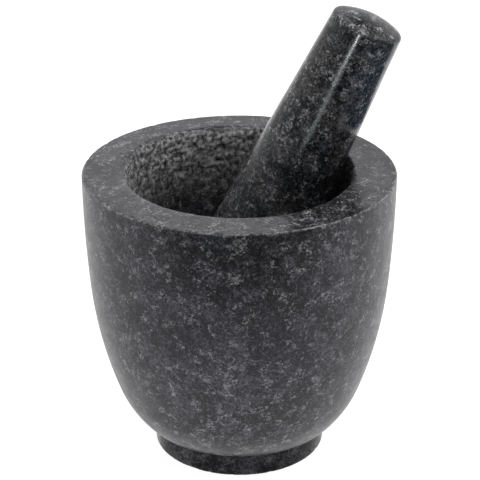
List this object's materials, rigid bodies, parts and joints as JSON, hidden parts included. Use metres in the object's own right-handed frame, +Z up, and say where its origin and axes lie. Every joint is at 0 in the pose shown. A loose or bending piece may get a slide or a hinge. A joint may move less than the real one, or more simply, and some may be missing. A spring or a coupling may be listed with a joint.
{
  "type": "mortar and pestle",
  "caption": "Turned dark granite mortar on a foot ring, with a pecked bowl and a loose tapered pestle leaning in it.",
  "frame": {"origin": "centre of the foot's flat underside", "axes": "+Z up along the mortar's own axis; the pestle leans towards +X, and -Y is the front"},
  "size_m": [0.1403, 0.14, 0.2043],
  "materials": {
    "granite_body": "honed dark granite with fine pale specks, pecked rough inside the bowl",
    "granite_pestle": "polished dark granite with fine pale specks"
  },
  "bodies": {
    "mortar": {"mortar": "granite_body"},
    "pestle": {"pestle": "granite_pestle"}
  },
  "joints": [
    {"name": "pestle_lift", "type": "slide", "parent": "mortar", "child": "pestle", "axis": [0, 0, 1], "range_m": [0, 0.1]}
  ]
}
